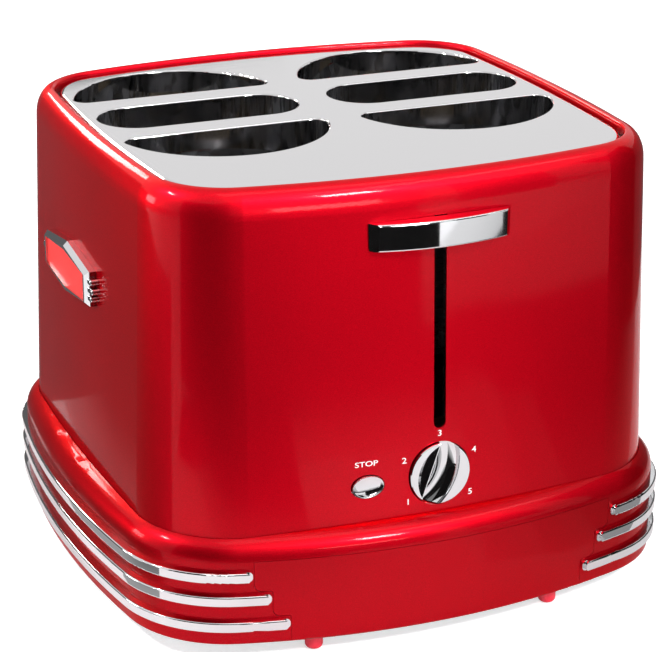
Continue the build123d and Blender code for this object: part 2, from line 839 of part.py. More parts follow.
def make_springs():
    """Return springs, drawn closed up as they are with the lever at the top."""
    springs = []
    base = -spring_ear + bracket_sheet
    top = rod_top - top_bracket_sheet - lever_height
    for side in (-1, 1):
        coil = Pos(side * spring_x, 0, base) * Cylinder(
            spring_radius, top - base + overrun, align=on_end)
        bore = Pos(side * spring_x, 0, base - overrun) * Cylinder(
            spring_bore, top - base + 3 * overrun, align=on_end)
        room = box((-top_bracket_half_width, top_bracket_half_width), (2 * chamber_front, 0),
                   (0, rod_top - top_bracket_sheet))
        springs.append(on_lift(coil - bore) & room)
    return Compound(springs)


def make_magnet():
    """Iron core and coil, fixed to the back of the board."""
    top = magnet_top
    front = board_front + board_thickness
    back = front + magnet_depth
    core = box((-magnet_half_width, magnet_half_width), (front, back), (top - magnet_height, top))
    middle = top - magnet_height / 2
    coil = box((-magnet_half_width - coil_proud, magnet_half_width + coil_proud),
               (front, back - coil_proud), (middle - coil_height / 2, middle + coil_height / 2))
    coil = coil - core
    return core, coil


# Dial, timer, stop button
def dial_front():
    return front_wall(dial_height) - dial_lift


def make_dial():
    """Disc with a swept hollow and a slope, and a sharp ridge between them to turn it by."""
    front = dial_front()
    disc = rod_y_axis(0, dial_height, dial_radius, front, front + dial_depth)
    disc = chamfer(disc.edges().sort_by(Axis.Y)[0], dial_edge_round)
    ridge = math.radians(dial_crest_angle)
    across = (math.sin(ridge), 0, -math.cos(ridge))
    local = Plane(origin=(0, front, dial_height), x_dir=across, z_dir=(0, -1, 0))
    scoop_half = math.sqrt(dial_scoop_radius**2 - (dial_scoop_radius - dial_scoop_depth)**2)
    scoop_x = -dial_crest_offset + scoop_half
    hollow = Pos(scoop_x - dial_scoop_sweep, 0, dial_scoop_radius - dial_scoop_depth) * Torus(
        dial_scoop_sweep, dial_scoop_radius)
    scoop = hollow & Pos(dial_radius - dial_crest_offset, 0, 0) * Box(
        2 * dial_radius, 3 * dial_radius, 3 * dial_radius)
    wedge_start = -dial_crest_offset - dial_crest_width
    wedge_end = wedge_start - dial_wedge_width
    wedge_plane = Plane(origin=(0, -dial_radius, 0), x_dir=(1, 0, 0), z_dir=(0, 1, 0))
    wedge_face = wedge_plane * make_face(Polyline(
        (wedge_start, 0), (wedge_end, 0), (wedge_end, dial_wedge_depth), close=True))
    wedge = extrude(wedge_face, amount=2 * dial_radius, dir=(0, 1, 0))
    edge = Pos(wedge_end + dial_wedge_arc, 0, 0) * Cylinder(dial_wedge_arc, 3 * dial_depth)
    disc = disc - local * scoop - local * (wedge & edge)
    bore = rod_y_axis(0, dial_height, timer_shaft_radius + fit_gap, shaft_front(), front + 2 * dial_depth)
    return disc - bore


def shaft_front():
    return dial_front() + dial_scoop_depth + dial_cup_wall


def make_timer():
    """Timer body on the front of the board, with the bore that its shaft turns in."""
    front = board_front - timer_length
    body = box((-timer_half_width, timer_half_width), (front, board_front),
               (dial_height - timer_half_width, dial_height + timer_half_width))
    neck_radius = timer_shaft_radius + sleeve_wall
    neck = rod_y_axis(0, dial_height, neck_radius, dial_front() + dial_depth + seat_gap, front)
    bore = rod_y_axis(0, dial_height, timer_shaft_radius + fit_gap, dial_front(), shaft_back() + fit_gap)
    return body + neck - bore


def shaft_back():
    return shaft_front() + timer_shaft_length


def make_stop_button():
    """Domed oval cap with a flange behind the wall and a stem that reaches the switch."""
    wall = front_wall(stop_height, stop_x)
    flange_front = wall + stop_flange_depth
    plane = Plane(origin=(-stop_x, wall - stop_edge_lift, stop_height), x_dir=(1, 0, 0), z_dir=(0, 1, 0))
    cap_length = flange_front - wall + stop_edge_lift
    cap = extrude(plane * Ellipse(stop_length / 2, stop_width / 2), amount=cap_length)
    dome_rise = stop_lift - stop_edge_lift
    dome = Pos(-stop_x, wall - stop_edge_lift, stop_height) * scale(
        Sphere(stop_width / 2), by=(stop_length / stop_width, 2 * dome_rise / stop_width, 1))
    cap = cap + Part(dome.wrapped)
    flange_plane = Plane(origin=(-stop_x, flange_front, stop_height), x_dir=(1, 0, 0), z_dir=(0, 1, 0))
    flange_face = flange_plane * Ellipse(stop_length / 2 + stop_flange, stop_width / 2 + stop_flange)
    flange = extrude(flange_face, amount=stop_flange_thickness)
    stem_end = board_front - switch_depth - stop_travel - seat_gap
    stem = rod_y_axis(-stop_x, stop_height, stop_stem_radius, flange_front, stem_end)
    return cap + flange + stem


def make_stop_switch():
    """Small push switch on the board, behind the button's stem."""
    body = box((-stop_x - switch_half_width, -stop_x + switch_half_width),
               (board_front - switch_depth / 2, board_front),
               (stop_height - switch_half_width, stop_height + switch_half_width))
    plunger = rod_y_axis(-stop_x, stop_height, switch_half_width / 2, board_front - switch_depth,
                         board_front - switch_depth / 2)
    return body + plunger


def make_board():
    back = board_front + board_thickness
    return box((board_left, board_right), (board_front, back), (bottom_top, board_top))


# Cooking chambers and heaters, drawn for the right unit
def make_chamber():
    """Open sheet box round one unit, with legs and the slots that the rack tabs run in."""
    centre = (unit_x, slot_row_y)
    plan = RectangleRounded(chamber_width, chamber_depth, chamber_corner)
    hollow = RectangleRounded(
        chamber_width - 2 * chamber_wall, chamber_depth - 2 * chamber_wall, chamber_corner - chamber_wall)
    height = chamber_top - chamber_bottom
    outer = extrude(Pos(centre[0], centre[1], chamber_bottom) * plan, amount=height, dir=(0, 0, 1))
    inner = extrude(Pos(centre[0], centre[1], chamber_bottom - overrun) * hollow,
                    amount=height + 2 * overrun, dir=(0, 0, 1))
    chamber = outer - inner
    for y in (chamber_front + side_leg_inset, chamber_rear - side_leg_inset):
        leg = box((chamber_outer_x - chamber_wall, chamber_outer_x), (y - leg_width / 2, y + leg_width / 2),
                  (bottom_top, chamber_bottom))
        chamber = chamber + leg
    end_leg_x = chamber_outer_x - end_leg_inset
    for wall in (chamber_front, chamber_rear - chamber_wall):
        leg = box((end_leg_x - leg_width / 2, end_leg_x + leg_width / 2), (wall, wall + chamber_wall),
                  (bottom_top, chamber_bottom))
        chamber = chamber + leg
    for y in rack_rows.values():
        slot = box((chamber_inner_x - overrun, chamber_inner_x + overrun),
                   (y - tab_slot_width / 2 - lift_drift, y + tab_slot_width / 2),
                   (chamber_bottom - overrun, tab_slot_top))
        chamber = chamber - slot
    return chamber


slot_gap_middle = (bun_slot_offset + dog_slot_width / 2) / 2
middle_rails = (slot_row_y - slot_gap_middle, slot_row_y + slot_gap_middle)
end_rails = (
    chamber_front + chamber_wall + rail_end_width / 2,
    chamber_rear - chamber_wall - rail_end_width / 2,
)


def rail_x():
    return chamber_inner_x + chamber_wall, chamber_outer_x - chamber_wall


def make_rails():
    """Top and bottom strips that hold the heater cards and the guard wires."""
    rails = []
    rows = [(y, rail_middle_width) for y in middle_rails] + [(y, rail_end_width) for y in end_rails]
    for y, width in rows:
        for low in (rail_low, rail_top):
            inset = 0 if y in middle_rails else chamber_corner
            left, right = rail_x()
            rails.append(box((left + inset, right - inset), (y - width / 2, y + width / 2),
                             (low, low + rail_thickness)))
    return Compound(rails)


def make_cards():
    """Mica cards, one in the middle of each pair of rails."""
    left, right = unit_x - card_width / 2, unit_x + card_width / 2
    low, high = rail_low + rail_thickness, rail_top
    half = card_thickness / 2
    rows = middle_rails + end_rails
    return Compound([box((left, right), (y - half, y + half), (low, high)) for y in rows])


def make_ribbons():
    """Heating ribbon, folded back and forth over the face of each card."""
    left = unit_x - card_width / 2 + ribbon_margin
    right = unit_x + card_width / 2 - ribbon_margin
    low = rail_low + rail_thickness + ribbon_margin
    pitch = (rail_top - ribbon_margin - ribbon_width - low) / (ribbon_rows - 1)
    ribbons = []
    for y in middle_rails + end_rails:
        toward = 1 if y < slot_row_y else -1
        surface = y + toward * card_thickness / 2
        depth = sorted((surface, surface + toward * ribbon_thickness))
        ribbon = None
        for row in range(ribbon_rows):
            base = low + row * pitch
            strip = box((left, right), depth, (base, base + ribbon_width))
            ribbon = strip if ribbon is None else ribbon + strip
            if row < ribbon_rows - 1:
                turn_left = right - ribbon_width if row % 2 == 0 else left
                ribbon = ribbon + box((turn_left, turn_left + ribbon_width), depth, (base, base + pitch))
        ribbons.append(ribbon)
    return Compound(ribbons)


def make_guards():
    """Upright wires that keep food off the middle heater cards."""
    low, high = rail_low + rail_thickness, rail_top
    wires = []
    for y in middle_rails:
        for side in (-1, 1):
            wire_y = y + side * (rail_middle_width / 2 - guard_edge)
            for index in range(guard_count):
                share = (index + 1) / (guard_count + 1)
                x = unit_x - card_width / 2 + share * card_width
                wires.append(Pos(x, wire_y, low) * Cylinder(
                    guard_radius, high - low, align=on_end))
    return Compound(wires)


def make_deflector():
    """Sloping sheet that sends drips from the outer part of a chamber into the tray."""
    outer = chamber_outer_x - chamber_wall
    inner = chamber_outer_x - deflector_reach
    front = chamber_front + chamber_corner
    rear = chamber_rear - chamber_corner
    plane = Plane(origin=(0, front, 0), x_dir=(1, 0, 0), z_dir=(0, -1, 0))
    face = plane * make_face(Polyline(
        (inner, deflector_low), (outer, deflector_high),
        (outer, deflector_high + deflector_flange),
        (outer - deflector_sheet, deflector_high + deflector_flange),
        (outer - deflector_sheet, deflector_high + deflector_sheet),
        (inner, deflector_low + deflector_sheet), close=True))
    return extrude(face, amount=rear - front, dir=(0, 1, 0))


# Bottom, feet, tray and gland
def make_bottom():
    plate = bowed_block(skirt_plan, skirt_wall + seat_gap, bottom_low, bottom_top)
    vent_x = chamber_outer_x - vent_inset
    for side in (-1, 1):
        for index in range(vent_count):
            y = (index - (vent_count - 1) / 2) * vent_pitch
            slot = Pos(side * vent_x, y, bottom_low - overrun) * SlotOverall(vent_length, vent_width)
            plate = plate - raised(slot, bottom_sheet + 2 * overrun)
        lean = (lever_height - bottom_top) * draft
        socket = Pos(side * rod_x, rod_y - lean, bottom_low) * Cylinder(
            socket_radius, bottom_sheet + socket_height, align=on_end)
        bore = on_lift(Pos(side * rod_x, 0, 0) * Cylinder(rod_radius + fit_gap, 3 * lever_height))
        room = box((-bracket_half_width, bracket_half_width), (2 * chamber_front, 0),
                   (bottom_top, lever_height))
        plate = plate + socket - (bore & room)
    for x, y in boss_places():
        plate = plate - Pos(x, y, bottom_low) * Cylinder(screw_radius + seat_gap, 2 * overrun)
    return plate


def make_feet():
    """Four short round feet, flat where they stand."""
    feet = []
    foot_y = skirt_half_depth - foot_inset
    for x in (-foot_x, foot_x):
        for y in (-foot_y, foot_y):
            foot = Pos(x, y, -foot_reach) * Cylinder(foot_radius, bottom_low + foot_reach, align=on_end)
            feet.append(fillet(foot.edges().sort_by(Axis.Z)[0], foot_edge_round))
    return Compound(feet)


def make_screws():
    """Screws that hold the bottom plate to the skirt's bosses."""
    screws = []
    for x, y in boss_places():
        shank = Pos(x, y, bottom_low) * Cylinder(
            screw_radius, screw_length, align=on_end)
        head = Pos(x, y, bottom_low) * Cylinder(
            screw_head_radius, screw_head_height, align=(Align.CENTER, Align.CENTER, Align.MAX))
        slot = Pos(x, y, bottom_low - screw_head_height) * Box(
            2 * screw_head_radius + overrun, screw_slot_width, 2 * screw_slot_depth)
        screws.append(shank + head - slot)
    return Compound(screws)


def tray_floor():
    return bottom_top + runner_sheet + tray_floor_gap


def make_tray():
    low = tray_floor()
    pan = box((-tray_half_width, tray_half_width), (tray_front, tray_rear), (low, low + tray_height))
    hollow = box((-tray_half_width + tray_sheet, tray_half_width - tray_sheet),
                 (tray_front + tray_sheet, tray_rear - tray_sheet),
                 (low + tray_sheet, low + tray_height + overrun))
    return pan - hollow


def make_tray_face():
    """Block that closes the mouth of the tray, flush with the rear panel, with a finger grip below."""
    low = tray_floor()
    block = bowed_block(skirt_plan, 0, low, low + tray_face_height)
    block = block & box((-tray_face_half_width, tray_face_half_width),
                        (tray_rear, skirt_half_depth + overrun), (low, low + tray_face_height))
    grip = box((-grip_half_width, grip_half_width),
               (skirt_half_depth - grip_depth, skirt_half_depth + overrun),
               (low - overrun, low + grip_height))
    grip = fillet(grip.edges().filter_by(Axis.Z).sort_by(Axis.Y)[:2], grip_depth / 3)
    return block - grip


def make_runners():
    """Two angles on the bottom plate that the tray slides in."""
    runners = []
    for side in (-1, 1):
        near = tray_half_width - runner_width + seat_gap
        wall = tray_half_width + seat_gap
        shelf = box(sorted((side * near, side * (wall + runner_sheet))), (tray_front, tray_rear - overrun),
                    (bottom_top, bottom_top + runner_sheet))
        fence = box(sorted((side * wall, side * (wall + runner_sheet))), (tray_front, tray_rear - overrun),
                    (bottom_top, bottom_top + runner_height))
        runners.append(shelf + fence)
    return Compound(runners)


def make_gland():
    """Rubber bush in the rear panel."""
    outer = skirt_half_depth
    flange_back = outer - skirt_wall - seat_gap
    inner = flange_back - gland_flange - gland_tail
    neck = rod_y_axis(0, gland_height, gland_radius, inner, outer)
    flange = rod_y_axis(0, gland_height, gland_flange_radius, flange_back - gland_flange, flange_back)
    bush = neck + flange
    return bush - rod_y_axis(0, gland_height, gland_bore, inner - overrun, outer + overrun)


# Assembly
nodes = {}


def add_pair(name, shape):
    """Keeps a piece and its mirror image under the names of their sides."""
    nodes["right_" + name] = shape
    nodes["left_" + name] = mirrored(shape)


nodes["body_shell"] = make_body_shell()
nodes["top_frame"] = make_top_frame()
nodes["top_plate"] = make_top_plate()
for slot_name, slot_face in slot_faces.items():
    add_pair(slot_name + "_collar", make_collar(slot_face))
nodes["base_skirt"], nodes["base_front_panel"], nodes["base_rear_panel"] = make_base()
for bar_name in bar_heights:
    add_pair(bar_name + "_trim_bar", make_bar(bar_name))
badge_frame_piece, badge_panel_piece = make_badge()
add_pair("badge_frame", badge_frame_piece)
add_pair("badge_panel", badge_panel_piece)
nodes["lever_arm"] = make_arm()
nodes["lever_handle"] = make_handle()
nodes["lift_bracket"] = make_bracket()
nodes["latch_armature"] = make_armature()
nodes["lift_spine"] = make_spine()
racks = [make_rack(slot_faces[row], rack_rows[row]) for row in slot_faces]
add_pair("racks", Compound(racks))
nodes["guide_rods"] = make_rods()
nodes["rod_bracket"] = make_top_bracket()
nodes["return_springs"] = make_springs()
nodes["magnet_core"], nodes["magnet_coil"] = make_magnet()
nodes["dial_knob"] = make_dial()
nodes["timer_shaft"] = rod_y_axis(0, dial_height, timer_shaft_radius, shaft_front(), shaft_back())
nodes["timer_body"] = make_timer()
nodes["control_board"] = make_board()
nodes["stop_button"] = make_stop_button()
nodes["stop_switch"] = make_stop_switch()
add_pair("chamber", make_chamber())
add_pair("heater_rails", make_rails())
add_pair("heater_cards", make_cards())
add_pair("heater_ribbons", make_ribbons())
add_pair("guard_wires", make_guards())
add_pair("drip_deflector", make_deflector())
nodes["bottom_plate"] = make_bottom()
nodes["feet"] = make_feet()
nodes["bottom_screws"] = make_screws()
nodes["drip_tray"] = make_tray()
nodes["tray_face"] = make_tray_face()
nodes["tray_runners"] = make_runners()
nodes["cord_gland"] = make_gland()

os.makedirs("parts", exist_ok=True)
raise_to_feet = Pos(0, 0, foot_reach)
for name, shape in nodes.items():
    export_step(raise_to_feet * shape, "parts/" + name + ".step")
print(len(nodes), "nodes written")
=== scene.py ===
# %% [markdown]
# # A countertop toaster for hot dogs and buns
#
# The housing is drawn sheet under a candy red enamel, and it stands on a stepped skirt with
# chrome bars. The measured pieces arrive ready made and keep their places. This file gives each
# of them its finish, adds the print on the front, and sets up the studio.

# %% Load the measured pieces
import math

import bpy
from mathutils import Matrix, Vector


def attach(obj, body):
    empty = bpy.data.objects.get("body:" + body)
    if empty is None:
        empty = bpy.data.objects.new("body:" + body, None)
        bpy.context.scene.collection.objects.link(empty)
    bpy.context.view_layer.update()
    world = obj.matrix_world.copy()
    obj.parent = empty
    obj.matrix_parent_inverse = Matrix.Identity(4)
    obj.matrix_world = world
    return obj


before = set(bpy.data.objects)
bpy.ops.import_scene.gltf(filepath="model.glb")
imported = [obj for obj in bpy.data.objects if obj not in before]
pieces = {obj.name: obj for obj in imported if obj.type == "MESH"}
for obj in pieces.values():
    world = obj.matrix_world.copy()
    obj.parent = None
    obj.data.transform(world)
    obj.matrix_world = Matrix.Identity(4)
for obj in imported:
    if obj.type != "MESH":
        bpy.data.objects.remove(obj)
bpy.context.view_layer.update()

# %% [markdown]
# ## Camera
#
# A long lens keeps the upright edges nearly parallel, as in a catalogue picture. The camera is
# given as a place, a turn and a tilt, because those are the numbers that a photographer would
# change. Its three axes are worked out, so nothing has to be aimed afterwards.

# %% Camera
camera_place = Vector((-0.47255, -1.12766, 0.57718))
camera_turn = math.radians(-22.762)
camera_tilt = math.radians(-20.542)
camera_roll = math.radians(0.14)
lens_mm = 125.62
film_width_mm = 36.0

forward = Vector((
    -math.sin(camera_turn) * math.cos(camera_tilt),
    math.cos(camera_turn) * math.cos(camera_tilt),
    math.sin(camera_tilt),
))
right = forward.cross(Vector((0, 0, 1))).normalized()
up = right.cross(forward)
axes = Matrix((right, up, -forward)).transposed() @ Matrix.Rotation(camera_roll, 3, "Z")

bpy.ops.object.camera_add(location=camera_place)
camera = bpy.context.object
camera.name = "camera"
camera.data.lens = lens_mm
camera.data.sensor_width = film_width_mm
camera.matrix_world = Matrix.Translation(camera_place) @ axes.to_4x4()
bpy.context.scene.camera = camera
print("camera distance", round(camera_place.length, 3))

# %% [markdown]
# ## White world
#
# Enamel and chrome show what stands round them, so the studio is half of the finish. The Light
# Path node tells which kind of ray asks for a colour. The camera, a mirror and clear glass see
# plain white. All other rays get a milder grey, so that the white background doesn't flood the
# toaster with light.


# %% Helpers for what a ray sees
def strongest(tree, *values):
    """The largest of several values, used as an "or" between kinds of ray."""
    result = values[0]
    for value in values[1:]:
        larger = tree.nodes.new("ShaderNodeMath")
        larger.operation = "MAXIMUM"
        tree.links.new(result, larger.inputs[0])
        tree.links.new(value, larger.inputs[1])
        result = larger.outputs[0]
    return result


def white_background(tree, strength):
    """White light of one strength from all round."""
    light = tree.nodes.new("ShaderNodeBackground")
    light.inputs["Color"].default_value = (1.0, 1.0, 1.0, 1.0)
    light.inputs["Strength"].default_value = strength
    return light.outputs[0]


print("ray helpers ready")

# %% World
seen_strength = 1.0
lamp_strength = 0.32

world = bpy.data.worlds.new("studio")
bpy.context.scene.world = world
world.use_nodes = True
sky = world.node_tree
sky.nodes.clear()
rays = sky.nodes.new("ShaderNodeLightPath").outputs
sky_mix = sky.nodes.new("ShaderNodeMixShader")
sky_out = sky.nodes.new("ShaderNodeOutputWorld")
looking = strongest(sky, rays["Is Camera Ray"], rays["Is Glossy Ray"], rays["Is Transmission Ray"])
sky.links.new(looking, sky_mix.inputs["Fac"])
sky.links.new(white_background(sky, lamp_strength), sky_mix.inputs[1])
sky.links.new(white_background(sky, seen_strength), sky_mix.inputs[2])
sky.links.new(sky_mix.outputs[0], sky_out.inputs["Surface"])
bpy.context.scene.view_settings.view_transform = "Standard"
print("world as seen", seen_strength, "as a lamp", lamp_strength)

# %% [markdown]
# ## Helpers for finishes
#
# No real surface is one flat value. Each finish below starts from a pattern, and turns it into
# colour, roughness or height. The pattern reads Object coordinates, so it is fixed to its piece
# and goes along when the piece moves. Four small functions keep every finish short.

# %% A material and its pattern
noise_low, noise_high = 0.3, 0.7    # a noise seldom leaves this range


def start_material(name):
    """A material, its node tree and its main shader."""
    material = bpy.data.materials.new(name)
    material.use_nodes = True
    tree = material.node_tree
    return material, tree, tree.nodes["Principled BSDF"]


def object_noise(tree, scale, detail=2.0, stretch=(1.0, 1.0, 1.0)):
    """A noise pattern that is fixed to the piece, finer with scale."""
    place = tree.nodes.new("ShaderNodeTexCoord")
    spread = tree.nodes.new("ShaderNodeMapping")
    spread.inputs["Scale"].default_value = stretch
    noise = tree.nodes.new("ShaderNodeTexNoise")
    noise.inputs["Scale"].default_value = scale
    noise.inputs["Detail"].default_value = detail
    tree.links.new(place.outputs["Object"], spread.inputs["Vector"])
    tree.links.new(spread.outputs["Vector"], noise.inputs["Vector"])
    return noise.outputs["Fac"]


print("pattern helpers ready")


# %% From a pattern to roughness, colour and height
def to_roughness(tree, shader, value, low, high):
    """Lets the roughness follow a pattern, between two limits."""
    step = tree.nodes.new("ShaderNodeMapRange")
    step.inputs["From Min"].default_value = noise_low
    step.inputs["From Max"].default_value = noise_high
    step.inputs["To Min"].default_value = low
    step.inputs["To Max"].default_value = high
    tree.links.new(value, step.inputs["Value"])
    tree.links.new(step.outputs["Result"], shader.inputs["Roughness"])


def to_colour(tree, shader, value, *stops):
    """Lets the colour follow a pattern. A stop is a place in the pattern and a colour."""
    ramp = tree.nodes.new("ShaderNodeValToRGB")
    band = ramp.color_ramp
    while len(band.elements) < len(stops):
        band.elements.new(0.5)
    for element, (place, colour) in zip(band.elements, stops):
        element.position = place
        element.color = (*colour, 1.0)
    tree.links.new(value, ramp.inputs["Fac"])
    tree.links.new(ramp.outputs["Color"], shader.inputs["Base Color"])


def two_tones(tree, shader, value, dark, light):
    """The colour goes from dark to light over the range of a noise."""
    to_colour(tree, shader, value, (noise_low, dark), (noise_high, light))


def add_bump(tree, shader, value, strength, distance, socket="Normal"):
    """Raises and lowers the surface by a pattern."""
    bump = tree.nodes.new("ShaderNodeBump")
    bump.inputs["Strength"].default_value = strength
    bump.inputs["Distance"].default_value = distance
    tree.links.new(value, bump.inputs["Height"])
    tree.links.new(bump.outputs["Normal"], shader.inputs[socket])


print("finish helpers ready")

# %% [markdown]
# ## Floor
#
# A shadow tells the eye that the toaster stands on something, so the floor is a matt surface
# that the lamps light. Light alone would leave it grey at the far end. It therefore glows for
# the camera, more with distance, and only faintly in mirrors.

# %% Floor
floor_width = 12.0

bpy.ops.object.select_all(action="DESELECT")
bpy.ops.mesh.primitive_plane_add(size=floor_width, location=(0, 0, 0))
floor = bpy.context.object
floor.name = "floor"
floor_paint, tree, shader = start_material("floor_paint")
shader.inputs["Base Color"].default_value = (0.80, 0.80, 0.81, 1.0)
shader.inputs["Roughness"].default_value = 0.8
shader.inputs["Specular IOR Level"].default_value = 0.1
floor.data.materials.append(floor_paint)
print("floor", floor.name, "width", floor_width)

# %% Glow of the floor
near_glow, far_glow = 0.58, 0.85
glow_from, glow_until = 0.3, 1.3
mirrored_glow = 0.08

rays = tree.nodes.new("ShaderNodeLightPath").outputs
place = tree.nodes.new("ShaderNodeTexCoord")
away = tree.nodes.new("ShaderNodeVectorMath")
away.operation = "LENGTH"
tree.links.new(place.outputs["Object"], away.inputs[0])
fade = tree.nodes.new("ShaderNodeMapRange")
fade.interpolation_type = "SMOOTHSTEP"
fade.inputs["From Min"].default_value = glow_from
fade.inputs["From Max"].default_value = glow_until
fade.inputs["To Min"].default_value = near_glow
fade.inputs["To Max"].default_value = far_glow
tree.links.new(away.outputs["Value"], fade.inputs["Value"])
mirrored = tree.nodes.new("ShaderNodeMath")
mirrored.operation = "MULTIPLY"
mirrored.inputs[1].default_value = mirrored_glow
in_mirrors = strongest(tree, rays["Is Glossy Ray"], rays["Is Transmission Ray"])
tree.links.new(in_mirrors, mirrored.inputs[0])
glow = tree.nodes.new("ShaderNodeMath")
glow.operation = "MULTIPLY_ADD"
tree.links.new(rays["Is Camera Ray"], glow.inputs[0])
tree.links.new(fade.outputs["Result"], glow.inputs[1])
tree.links.new(mirrored.outputs[0], glow.inputs[2])
shader.inputs["Emission Color"].default_value = (1.0, 1.0, 1.0, 1.0)
tree.links.new(glow.outputs[0], shader.inputs["Emission Strength"])
print("floor glow", near_glow, "to", far_glow, "in mirrors", mirrored_glow)

# %% [markdown]
# ## Lamps
#
# The main lamp is small and stands a little to the right of the front, so that edges get clear
# highlights. Weak wide lamps stand for windows and draw long soft highlights on the rims and the
# ridge. The one behind is slightly warm. A wide lamp overhead keeps the shadows open.


# %% One lamp by direction
def direction(azimuth, elevation):
    """Unit vector, with the azimuth counted from the front towards the right."""
    turn, rise = math.radians(azimuth), math.radians(elevation)
    level = math.cos(rise)
    return Vector((math.sin(turn) * level, -math.cos(turn) * level, math.sin(rise)))


toaster_middle = Vector((0.0, 0.0, 0.13))


def soft_box(name, azimuth, elevation, distance, size, watts, tint):
    """A flat lamp that looks at the middle of the toaster."""
    place = toaster_middle + distance * direction(azimuth, elevation)
    bpy.ops.object.light_add(type="AREA", location=place)
    lamp = bpy.context.object
    lamp.name = name
    lamp.data.shape = "RECTANGLE"
    lamp.data.size, lamp.data.size_y = size
    lamp.data.energy = watts
    lamp.data.color = tint
    lamp.rotation_euler = (toaster_middle - place).to_track_quat("-Z", "Y").to_euler()


print("front is", [round(part, 3) for part in direction(0, 0)])

# %% Lamps
plain = (1.0, 1.0, 1.0)
warm = (1.0, 0.94, 0.88)
lamps = [
    # name, azimuth, elevation, distance, width and height, watts, tint
    ("key_lamp", 14, 38, 2.2, (0.25, 0.25), 32, plain),
    ("front_window", 6, 10, 1.5, (0.4, 0.3), 4, plain),
    ("high_window", 40, 52, 1.8, (1.2, 0.2), 3, plain),
    ("left_window", -115, 10, 1.2, (0.3, 0.25), 3, plain),
    ("corner_glint", -100, 42, 1.4, (0.22, 0.05), 8, plain),
    ("rear_window", -166, 25, 2.0, (0.55, 0.4), 14, warm),
    ("top_lamp", 10, 74, 1.9, (1.2, 0.5), 4, plain),
]
for lamp in lamps:
    soft_box(*lamp)
print("lamps", len(lamps))

# %% [markdown]
# ## Dark sheets and boards
#
# A photographer of shiny things spends most of the time on what they mirror. Here dark sheets
# lie on the floor and dark boards stand round the toaster. The camera and the lamps don't see
# them, only reflections do. They give the handle its dark half, the corners their dark bands and
# the enamel its depth. Many of the cards also glow pale or grey, though they are no lamps. That
# glow is painted light, and it shows only as painted reflections. A card whose glow runs from a
# pale edge to a dark one gives a soft change where a plain card would give a line.


# %% One card
def card_face(name, near_tone, far_tone):
    """A near black matt face that glows from one strength to another across the card: painted
    light that shows only in reflections.
    """
    face, tree, shader = start_material(name)
    shader.inputs["Base Color"].default_value = (0.01, 0.01, 0.01, 1.0)
    shader.inputs["Roughness"].default_value = 1.0
    shader.inputs["Specular IOR Level"].default_value = 0.0
    shader.inputs["Emission Color"].default_value = (1.0, 1.0, 1.0, 1.0)
    place = tree.nodes.new("ShaderNodeTexCoord")
    parts = tree.nodes.new("ShaderNodeSeparateXYZ")
    tone = tree.nodes.new("ShaderNodeMapRange")
    tone.interpolation_type = "SMOOTHSTEP"
    tone.inputs["From Min"].default_value = -0.5    # one edge of a plane of size 1
    tone.inputs["From Max"].default_value = 0.5     # and the other edge
    tone.inputs["To Min"].default_value = near_tone
    tone.inputs["To Max"].default_value = far_tone
    tree.links.new(place.outputs["Object"], parts.inputs[0])
    tree.links.new(parts.outputs["Y"], tone.inputs["Value"])
    # The tone is the strength of the card's glow, painted light for reflections, not a grey paint.
    tree.links.new(tone.outputs["Result"], shader.inputs["Emission Strength"])
    return face


def put_card(name, middle, turn, size, near_tone, far_tone):
    """A card that shows only in reflections."""
    bpy.ops.object.select_all(action="DESELECT")
    bpy.ops.mesh.primitive_plane_add(size=1.0, location=middle)
    card = bpy.context.object
    card.name = name
    card.rotation_euler = turn
    card.scale = (*size, 1.0)
    card.data.materials.append(card_face(name + "_face", near_tone, far_tone))
    card.visible_camera = False
    card.visible_shadow = False
    card.visible_diffuse = False
    card.visible_transmission = False


print("card helper ready")

# %% Standing and lying cards
sheet_lift = 0.001
board_foot = 0.002


def floor_line(start, end):
    """Middle, run and heading of a line on the floor."""
    first, last = Vector((*start, 0.0)), Vector((*end, 0.0))
    run = last - first
    return (first + last) / 2, run, math.atan2(run.y, run.x)


def standing_card(name, start, end, top, low_tone=0.0, high_tone=0.0, foot=board_foot):
    """An upright board along a line on the floor."""
    middle, run, heading = floor_line(start, end)
    middle = middle + Vector((0, 0, (foot + top) / 2))
    turn = (math.radians(90), 0, heading)
    put_card(name, middle, turn, (run.length, top - foot), low_tone, high_tone)


def lying_card(name, start, end, reach, near_tone=0.0, far_tone=0.0, lift=sheet_lift):
    """A sheet on the floor, from a line outwards by reach."""
    middle, run, heading = floor_line(start, end)
    outwards = Vector((-run.y, run.x, 0)).normalized()
    middle = middle + outwards * reach / 2 + Vector((0, 0, lift))
    put_card(name, middle, (0, 0, heading), (run.length, reach), near_tone, far_tone)


print("lines on the floor ready")

# %% Sheets in front, glowing pale near the toaster and black farther out
# The pale near edge of each front sheet, and the pale sheet, are a glow: painted light seen only
# in reflections.
floor_tone = 0.70
for name, right_end, left_end, near, full, far in (
        ("middle_sheet", 0.24, -0.05, -0.42, -0.56, -0.65),
        ("left_sheet", -0.05, -0.60, -0.27, -0.37, -0.65),
        ("right_sheet", 0.80, 0.24, -0.20, -0.31, -0.50)):
    lying_card(name + "_near", (right_end, near), (left_end, near), near - full, floor_tone)
    lying_card(name + "_far", (right_end, full), (left_end, full), full - far)

